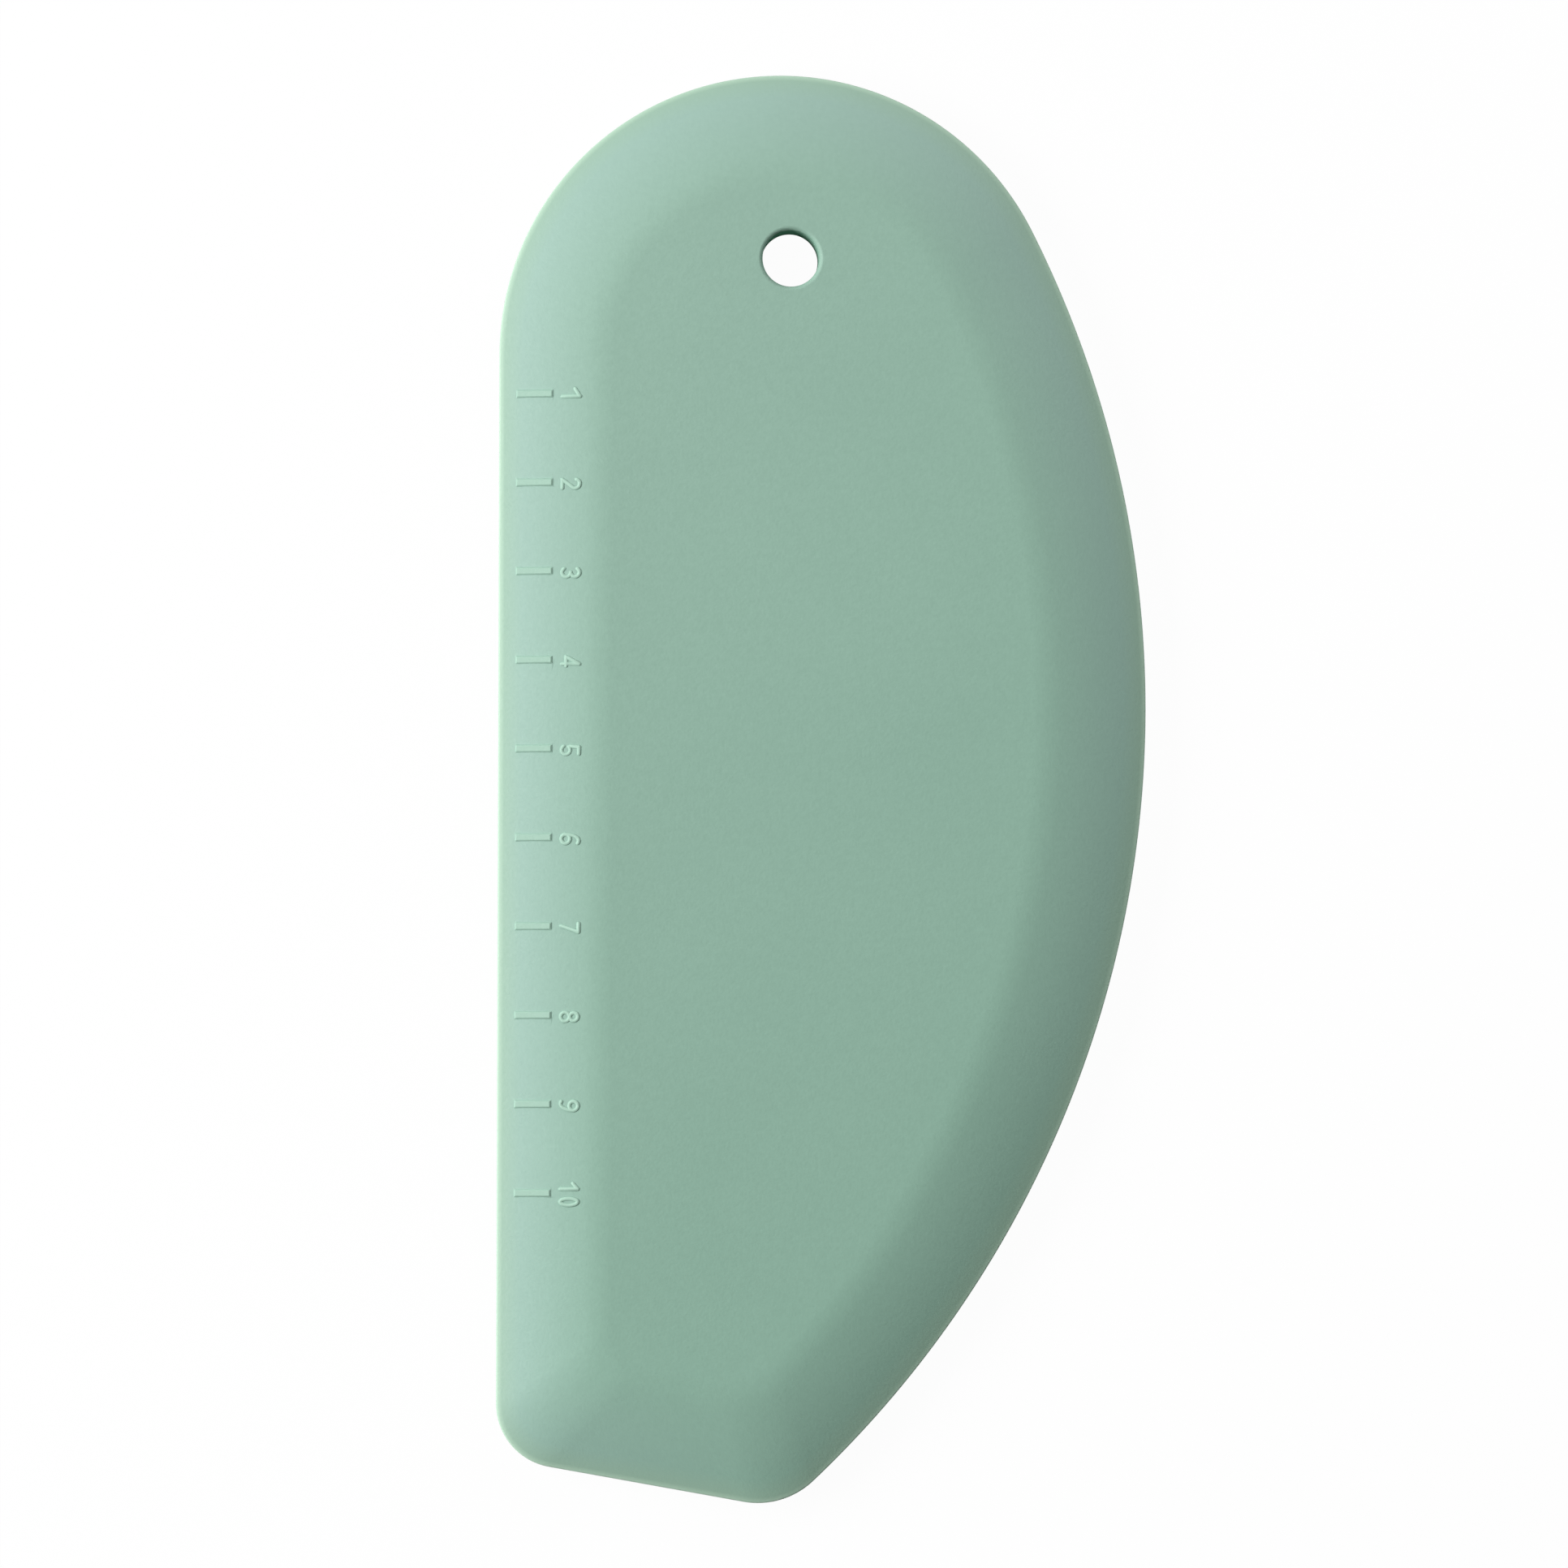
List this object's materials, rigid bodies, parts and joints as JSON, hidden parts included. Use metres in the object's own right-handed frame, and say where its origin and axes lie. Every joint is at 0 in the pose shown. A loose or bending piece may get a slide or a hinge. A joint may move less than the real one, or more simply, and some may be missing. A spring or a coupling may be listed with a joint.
{
  "type": "silicone dough scraper",
  "caption": "Flat silicone dough and bowl scraper with a straight edge, a curved edge, bevelled flexing lips, a raised centimetre scale and a hanging hole.",
  "frame": {"origin": "middle of the outline's box on the flat back face, on which the scraper lies", "axes": "+X from the straight edge to the curved edge, +Y along the straight edge to the crown with the hanging hole, +Z out of the front face with the scale"},
  "size_m": [0.073, 0.161, 0.007],
  "materials": {
    "silicone": "matte sage green, fine mould grain",
    "stiffener": "natural nylon, hidden"
  },
  "bodies": {
    "blade": {"core_plate": "stiffener", "front_skin": "silicone", "back_skin": "silicone", "straight_flex_web": "silicone", "curved_flex_web": "silicone"},
    "straight_edge": {"straight_lip": "silicone"},
    "curved_edge": {"curved_lip": "silicone"}
  },
  "joints": [
    {"name": "straight_edge_flex", "type": "hinge", "parent": "blade", "child": "straight_edge", "pos_m": [-0.0284, 0, 0.0035], "axis": [0, 1, 0], "range_deg": [-20, 20], "stiffness_Nm_per_rad": 1.75, "deforming": ["straight_flex_web"]},
    {"name": "curved_edge_flex", "type": "hinge", "parent": "blade", "child": "curved_edge", "pos_m": [0.0267, 0, 0.0035], "axis": [0, -1, 0], "range_deg": [-16, 16], "stiffness_Nm_per_rad": 1.5, "deforming": ["curved_flex_web"]}
  ]
}
